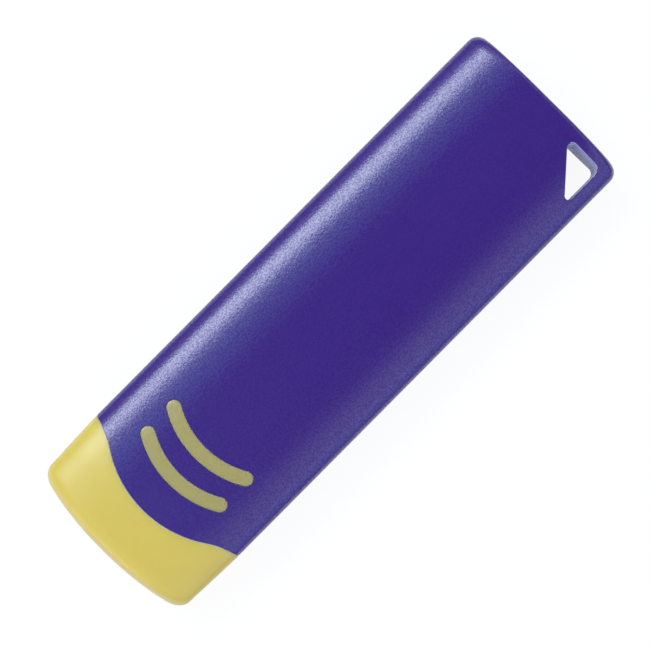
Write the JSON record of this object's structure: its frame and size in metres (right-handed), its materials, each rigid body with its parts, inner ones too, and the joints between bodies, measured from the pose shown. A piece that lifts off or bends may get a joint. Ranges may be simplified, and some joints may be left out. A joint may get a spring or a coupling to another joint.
{
  "type": "plastic eraser",
  "caption": "Flat hand-held eraser: a soft yellow block in a crowned blue casing with a wavy mouth, arc windows and a triangular strap hole.",
  "frame": {"origin": "middle of the box's lowest face, so the back rests on the ground plane", "axes": "+X along the length from the eraser's tip to the strap hole, +Y across, +Z out of the front"},
  "size_m": [0.0816, 0.0258, 0.0094],
  "materials": {
    "case_blue": "satin moulded ABS, violet blue with a fine spark texture",
    "eraser_yellow": "satin translucent elastomer, pale yellow"
  },
  "bodies": {
    "root": {"front_shell": "case_blue", "rear_shell": "case_blue", "eraser_block": "eraser_yellow"}
  },
  "joints": []
}
